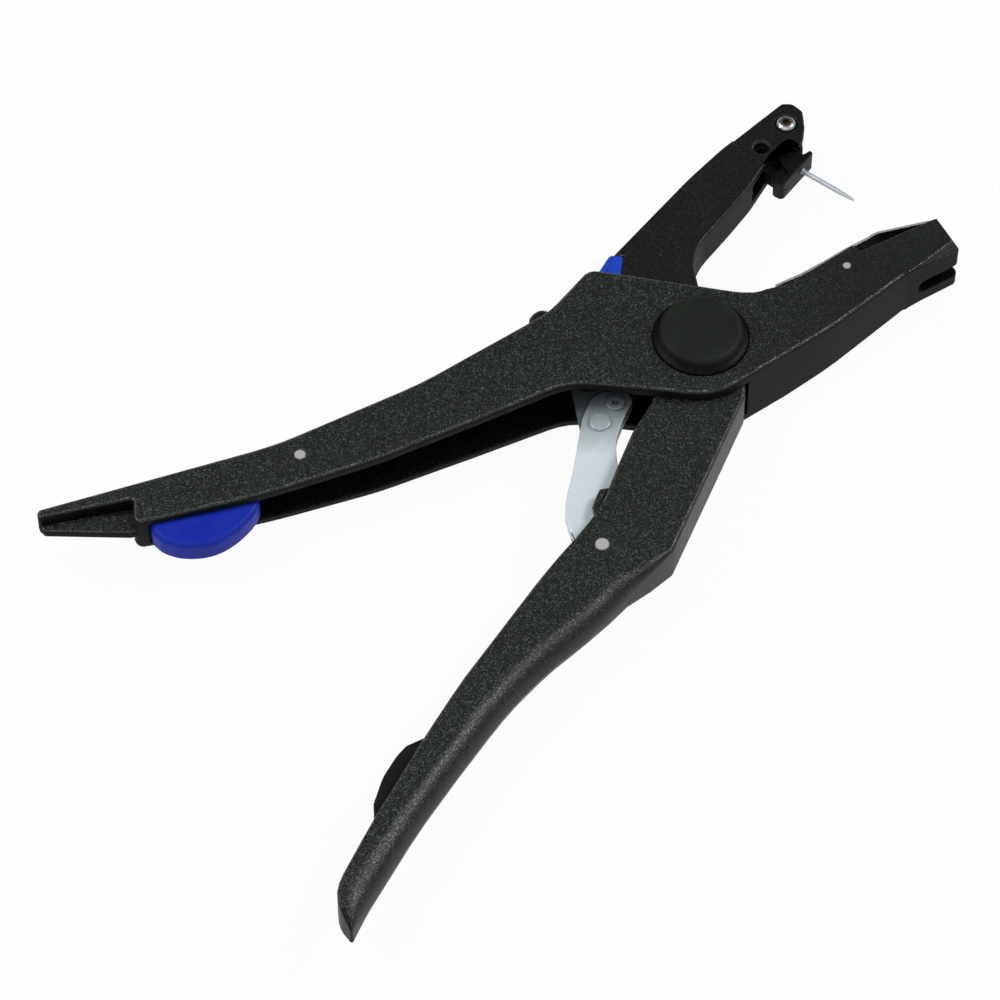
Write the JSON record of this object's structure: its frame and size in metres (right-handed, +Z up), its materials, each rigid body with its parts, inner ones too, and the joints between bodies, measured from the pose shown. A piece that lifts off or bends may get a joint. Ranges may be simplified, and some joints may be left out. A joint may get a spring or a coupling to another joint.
{
  "type": "ear tag applicator",
  "caption": "Plier-type livestock ear tag applicator: fixed and lower handles, upper jaw with a needle on a swinging holder, lower jaw with a tag clip, joined by a lever and link",
  "frame": {"origin": "where the main pivot's axis meets the flat face of the back cap, the face the tool lies on", "axes": "+Z is up the pivot's axis, from the back cap to the front cap. +Y points up along the upper jaw and away from the lower handle. +X points to the side of the lower jaw; the fixed handle points along -X and a little down."},
  "size_m": [0.2541, 0.274, 0.0287],
  "materials": {
    "casting": "black sand-textured powder coat, worn bright at the edges",
    "jaw_casting": "black powder coat, finer and smoother than the handles",
    "cap": "matte black moulded cap",
    "blue": "satin blue moulding",
    "black_rubber": "black rubber",
    "zinc": "zinc-plated stamped steel",
    "pins": "plain steel pins with ground ends",
    "fastener": "zinc-plated steel",
    "bushing": "plain bearing metal",
    "spring_steel": "spring-steel strip",
    "stainless": "bright stainless",
    "needle": "polished steel",
    "holder": "matte black moulding"
  },
  "bodies": {
    "body": {"body_casting": "casting", "pivot_bolt": "fastener", "pivot_nut": "fastener", "pivot_bushing": "bushing", "front_cap": "cap", "back_cap": "cap", "upper_bumper": "blue", "bumper_pin": "pins", "tag_clip": "spring_steel", "clip_pin": "pins", "back_buffer": "black_rubber"},
    "lower": {"lower_handle": "casting", "lower_bumper": "black_rubber", "lever_pin": "pins"},
    "jaw": {"upper_jaw": "jaw_casting", "stop_pad": "blue", "tail_pin": "pins", "jaw_screw": "stainless", "jaw_plug": "jaw_casting", "holder_pin": "pins"},
    "lever": {"lever_front_plate": "zinc", "lever_back_plate": "zinc", "lever_spacer": "zinc", "link_rivet": "zinc", "hollow_rivet": "zinc"},
    "link": {"link_plate": "zinc"},
    "holder": {"pin_holder": "holder", "needle": "needle"}
  },
  "joints": [
    {"name": "handle_turn", "type": "hinge", "parent": "body", "child": "lower", "pos_m": [0, 0, 0.01435], "axis": [0, 0, 1], "range_deg": [-32, 0], "stiffness_Nm_per_rad": 2, "springref_deg": 11.46},
    {"name": "jaw_turn", "type": "hinge", "parent": "body", "child": "jaw", "pos_m": [0, 0, 0.01435], "axis": [0, 0, 1], "range_deg": [-26, 0]},
    {"name": "lever_turn", "type": "hinge", "parent": "lower", "child": "lever", "pos_m": [-0.028, -0.0672, 0.01435], "axis": [0, 0, 1], "range_deg": [-9.06, 0]},
    {"name": "link_turn", "type": "hinge", "parent": "lever", "child": "link", "pos_m": [-0.02805, -0.0235, 0.01435], "axis": [0, 0, 1], "range_deg": [0, 33.12]},
    {"name": "holder_swing", "type": "hinge", "parent": "jaw", "child": "holder", "pos_m": [0.019, 0.0715, 0.01435], "axis": [0, 0, 1], "range_deg": [0, 35]}
  ],
  "couplings": [
    {"joint": "jaw_turn", "follows": "handle_turn", "ratio": 0.8125},
    {"joint": "lever_turn", "follows": "handle_turn", "ratio": 0.2829},
    {"joint": "link_turn", "follows": "handle_turn", "ratio": -1.0347}
  ]
}
